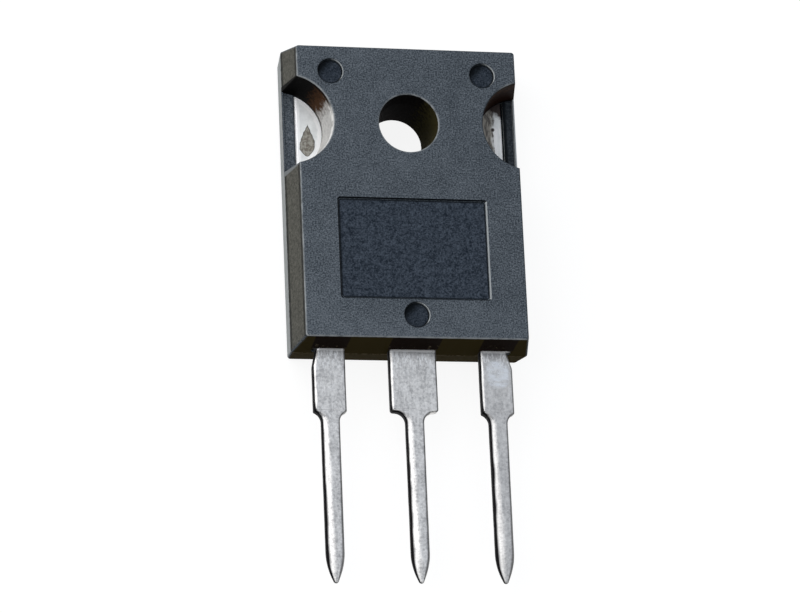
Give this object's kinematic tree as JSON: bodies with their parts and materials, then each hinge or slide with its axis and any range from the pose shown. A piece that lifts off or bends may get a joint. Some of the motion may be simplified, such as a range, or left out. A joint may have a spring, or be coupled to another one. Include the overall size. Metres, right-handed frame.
{
  "type": "power transistor",
  "caption": "Power transistor in a flat moulded case with a metal back, a screw hole, side notches and a row of flat leads.",
  "frame": {"origin": "on the mounting hole's axis, in the plane of the metal back that rests on a heat sink", "axes": "+Z out of the marked front face, the leads point towards -Y, +X to the right as seen from the front with the leads down"},
  "size_m": [0.0154, 0.0354, 0.0049],
  "materials": {
    "moulding": "dark blue-grey epoxy moulding compound, fine matt grain",
    "tab": "plated copper, satin, tinned on the lead",
    "lead": "tin-dipped copper alloy, satin grey",
    "die": "silicon with an aluminium top layer",
    "solder": "dull solder",
    "wire": "drawn aluminium wire"
  },
  "bodies": {
    "root": {"moulded_body": "moulding", "heat_tab": "tab", "gate_lead": "lead", "source_lead": "lead", "silicon_die": "die", "die_solder": "solder", "gate_wire": "wire", "source_wire_1": "wire", "source_wire_2": "wire", "source_wire_3": "wire"}
  },
  "joints": []
}
